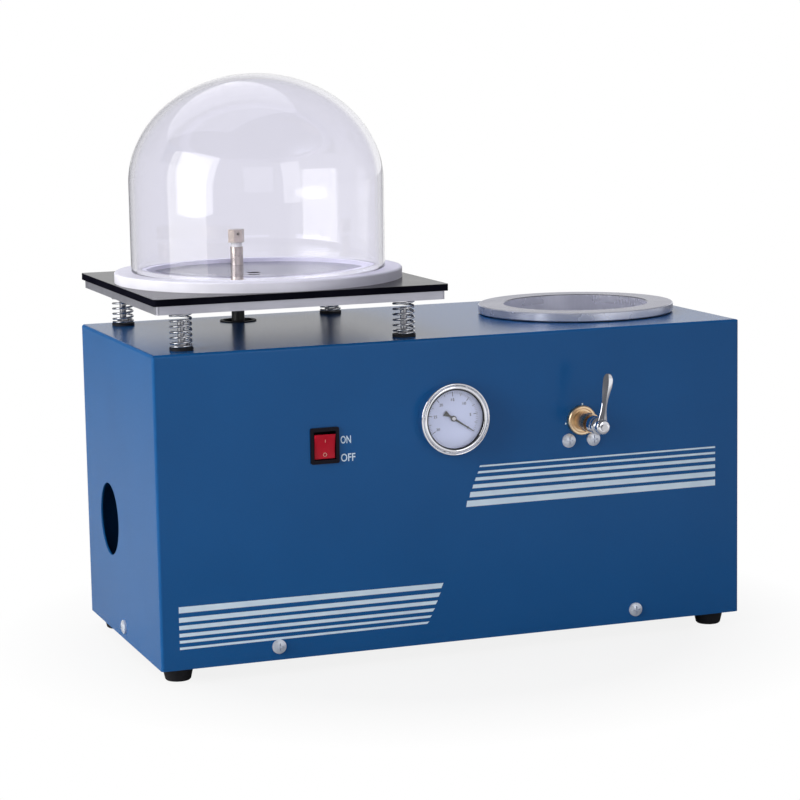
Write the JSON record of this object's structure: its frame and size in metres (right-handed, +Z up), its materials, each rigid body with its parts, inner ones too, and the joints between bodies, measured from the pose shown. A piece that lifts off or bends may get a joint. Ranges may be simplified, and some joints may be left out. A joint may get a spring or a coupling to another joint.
{
  "type": "jewelry vacuum casting machine",
  "caption": "Bench vacuum machine for jewellery casting: blue cabinet with pump, sprung investing table under a bell jar, and a casting chamber.",
  "frame": {"origin": "middle of the whole machine's footprint box at bench level", "axes": "+X to the right seen from the front, +Y from the front panel to the back, +Z up"},
  "size_m": [0.5572, 0.331, 0.5155],
  "materials": {
    "blue_paint": "fine textured semi-gloss",
    "dark_paint": "satin",
    "black_rubber": "matt",
    "black_gloss_mat": "glossy",
    "pale_silicone": "satin",
    "zinc_steel": "zinc plated",
    "spring_steel": "bright",
    "chrome": "polished",
    "table_aluminium": "milled",
    "polished_aluminium": "polished",
    "turned_steel": "fine turned",
    "brass": "turned",
    "white_tape": "matt",
    "clear_jar": "clear",
    "clear_lens": "clear",
    "oil_glass": "clear",
    "dial_white": "printed",
    "pointer_black": "matt",
    "switch_black": "satin",
    "switch_red": "glossy, translucent",
    "hose_rubber": "satin",
    "lead_grey": "satin",
    "cast_grey": "cast",
    "cast_aluminium": "cast",
    "motor_paint": "satin",
    "copper_winding": "enamelled",
    "fan_plastic": "matt",
    "inlet_black": "satin"
  },
  "bodies": {
    "cabinet": {"cabinet_shell": "blue_paint", "base_pan": "dark_paint", "rear_panel": "blue_paint", "feet": "black_rubber", "foot_screws": "zinc_steel", "cabinet_screws": "chrome", "rear_panel_screws": "zinc_steel", "spring_front_left": "spring_steel", "spring_front_right": "spring_steel", "spring_rear_left": "spring_steel", "spring_rear_right": "spring_steel", "guide_bolts": "zinc_steel", "spring_washers": "black_rubber", "hose_grommet": "black_rubber", "chamber_ring": "turned_steel", "ring_gasket": "black_rubber", "chamber_cup": "turned_steel", "clamp_nut": "zinc_steel", "chamber_port": "brass", "gauge_case": "dark_paint", "gauge_bezel": "chrome", "gauge_lens": "clear_lens", "gauge_dial": "dial_white", "gauge_clamp": "zinc_steel", "valve_body": "brass", "valve_collar": "brass", "valve_bracket": "zinc_steel", "valve_screws": "chrome", "switch_body": "switch_black", "table_hose": "hose_rubber", "hose_elbow": "brass", "vacuum_hoses": "hose_rubber", "wiring": "lead_grey", "pump_plate": "dark_paint", "pump_mounts": "black_rubber", "oil_case": "cast_aluminium", "sight_glass": "oil_glass", "pump_head": "cast_grey", "motor_housing": "motor_paint", "motor_stator": "copper_winding", "exhaust_silencer": "brass", "mains_inlet": "inlet_black"},
    "table": {"table_plate": "table_aluminium", "table_mat": "black_gloss_mat", "sealing_pad": "pale_silicone", "table_floor": "polished_aluminium", "floor_screw": "dark_paint", "standpipe": "brass", "thread_tape": "white_tape", "standpipe_head": "brass", "standpipe_nut": "brass"},
    "jar": {"bell_jar": "clear_jar"},
    "lever": {"valve_plug": "chrome", "valve_lever": "chrome", "lever_screw": "zinc_steel"},
    "rocker": {"switch_rocker": "switch_red"},
    "pointer": {"gauge_pointer": "pointer_black"},
    "rotor": {"pump_rotor": "zinc_steel", "motor_shaft": "zinc_steel", "cooling_fan": "fan_plastic"}
  },
  "joints": [
    {"name": "table_press", "type": "slide", "parent": "cabinet", "child": "table", "axis": [0, 0, 1], "range_m": [-0.005, 0], "stiffness_N_per_m": 8000, "springref_m": 0.009, "deforming": ["spring_front_left", "spring_front_right", "spring_rear_left", "spring_rear_right", "table_hose"]},
    {"name": "jar_lift", "type": "slide", "parent": "table", "child": "jar", "axis": [0, 0, 1], "range_m": [0, 0.22]},
    {"name": "lever_turn", "type": "hinge", "parent": "cabinet", "child": "lever", "pos_m": [0.117, -0.1595, 0.2035], "axis": [0, -1, 0], "range_deg": [-90, 90]},
    {"name": "rocker_press", "type": "hinge", "parent": "cabinet", "child": "rocker", "pos_m": [-0.1245, -0.1075, 0.198], "axis": [-1, 0, 0], "range_deg": [0, 14]},
    {"name": "pointer_swing", "type": "hinge", "parent": "cabinet", "child": "pointer", "pos_m": [-0.007, -0.1193, 0.214], "axis": [0, -1, 0], "range_deg": [0, 246], "stiffness_Nm_per_rad": 0.0005, "springref_deg": -17.19},
    {"name": "rotor_spin", "type": "hinge", "parent": "cabinet", "child": "rotor", "pos_m": [-0.075, 0.0145, 0.0965], "axis": [1, 0, 0], "continuous": true}
  ]
}
